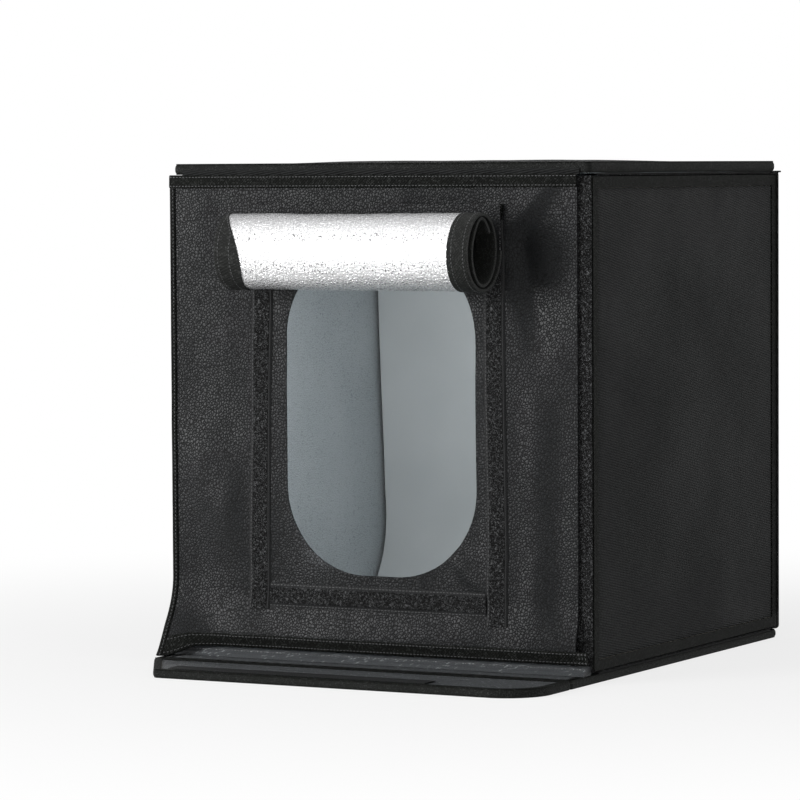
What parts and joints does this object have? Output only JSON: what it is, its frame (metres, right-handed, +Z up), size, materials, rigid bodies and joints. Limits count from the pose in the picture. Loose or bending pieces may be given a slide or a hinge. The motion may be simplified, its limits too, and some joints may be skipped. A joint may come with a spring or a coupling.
{
  "type": "folding light tent cube",
  "caption": "Cube-shaped folding light tent of padded panels with a lifting front cover, a window with a roll-up door, a curved backdrop and a closing flap.",
  "frame": {"origin": "middle of the cube's floor underside, on the table", "axes": "+X to the right as seen from the front, +Y from the front cover to the back, +Z up"},
  "size_m": [0.4056, 0.5171, 0.4353],
  "materials": {
    "board": "pressed paperboard",
    "cloth": "black diagonal-weave cloth",
    "tape": "black woven tape",
    "leather": "black grained imitation leather",
    "lining": "silver-grey grained lining",
    "foil": "silver foil-faced sheet",
    "backdrop": "smooth grey sheet",
    "aluminium": "satin",
    "lamps": "white board with small lamps",
    "plastic": "black"
  },
  "bodies": {
    "floor": {"floor_board": "board", "floor_skin": "cloth", "floor_lining": "lining", "floor_lip_skin": "cloth", "floor_binding": "tape", "front_sill": "cloth", "hem_loop_strip": "tape", "floor_left_hook_strip": "tape", "floor_right_hook_strip": "tape", "floor_hinge_welt": "cloth", "flap_hinge_welt": "cloth"},
    "closing_flap": {"flap_board": "board", "flap_top_skin": "cloth", "flap_bottom_skin": "cloth", "flap_binding": "tape", "flap_hook_strip": "tape"},
    "back_wall": {"back_wall_board": "board", "back_wall_skin": "cloth", "back_wall_lining": "lining", "back_wall_binding": "tape", "back_wall_hinge_welt": "cloth", "backdrop_sheet": "backdrop", "backdrop_top_strip": "tape"},
    "left_wall": {"left_wall_board": "board", "left_wall_skin": "cloth", "left_wall_lining": "lining", "left_wall_binding": "tape", "left_wall_loop_strip": "tape", "left_wall_front_tape": "tape"},
    "right_wall": {"right_wall_board": "board", "right_wall_skin": "cloth", "right_wall_lining": "lining", "right_wall_binding": "tape", "right_wall_loop_strip": "tape", "right_wall_front_tape": "tape"},
    "roof": {"roof_board": "board", "roof_skin": "cloth", "roof_lining": "lining", "roof_binding": "tape", "roof_left_hook_strip": "tape", "roof_right_hook_strip": "tape", "cover_hinge_welt": "cloth", "light_pad": "tape", "light_channel": "aluminium", "light_board": "lamps", "light_left_cap": "plastic", "light_right_cap": "plastic"},
    "front_cover": {"cover_sheet": "leather", "cover_top_tape": "tape", "cover_left_piping": "tape", "cover_hem_band": "tape", "cover_left_hook_strip": "tape", "cover_right_hook_strip": "tape", "window_left_strip": "tape", "window_right_strip": "tape", "window_bottom_strip": "tape", "door_header_tape": "tape"},
    "door_carrier": {"door_hanging_sheet": "leather"},
    "door_roll": {"door_roll_sheet": "foil", "door_edge_tape": "tape"}
  },
  "joints": [
    {"name": "back_wall_fold", "type": "hinge", "parent": "floor", "child": "back_wall", "pos_m": [0, 0.2012, 0.00715], "axis": [-1, 0, 0], "range_deg": [0, 90]},
    {"name": "left_wall_fold", "type": "hinge", "parent": "back_wall", "child": "left_wall", "pos_m": [-0.2012, 0.1923, 0.2], "axis": [0, 0, -1], "range_deg": [0, 90]},
    {"name": "right_wall_fold", "type": "hinge", "parent": "back_wall", "child": "right_wall", "pos_m": [0.2012, 0.1923, 0.2], "axis": [0, 0, 1], "range_deg": [0, 90]},
    {"name": "roof_fold", "type": "hinge", "parent": "back_wall", "child": "roof", "pos_m": [0, 0.2012, 0.42365], "axis": [-1, 0, 0], "range_deg": [0, 90]},
    {"name": "cover_lift", "type": "hinge", "parent": "roof", "child": "front_cover", "pos_m": [0, -0.2012, 0.4247], "axis": [1, 0, 0], "range_deg": [-180, 0]},
    {"name": "closing_flap_fold", "type": "hinge", "parent": "floor", "child": "closing_flap", "pos_m": [0, -0.239, 0.0079], "axis": [-1, 0, 0], "range_deg": [0, 90]},
    {"name": "door_unroll", "type": "slide", "parent": "front_cover", "child": "door_carrier", "axis": [0, 0, -1], "range_m": [0, 0.21], "deforming": ["door_hanging_sheet"]},
    {"name": "door_spin", "type": "hinge", "parent": "door_carrier", "child": "door_roll", "pos_m": [0, -0.2377, 0.3595], "axis": [1, 0, 0], "range_deg": [0, 360]}
  ],
  "couplings": [
    {"joint": "door_spin", "follows": "door_unroll", "rad_per_m": 29.919}
  ]
}
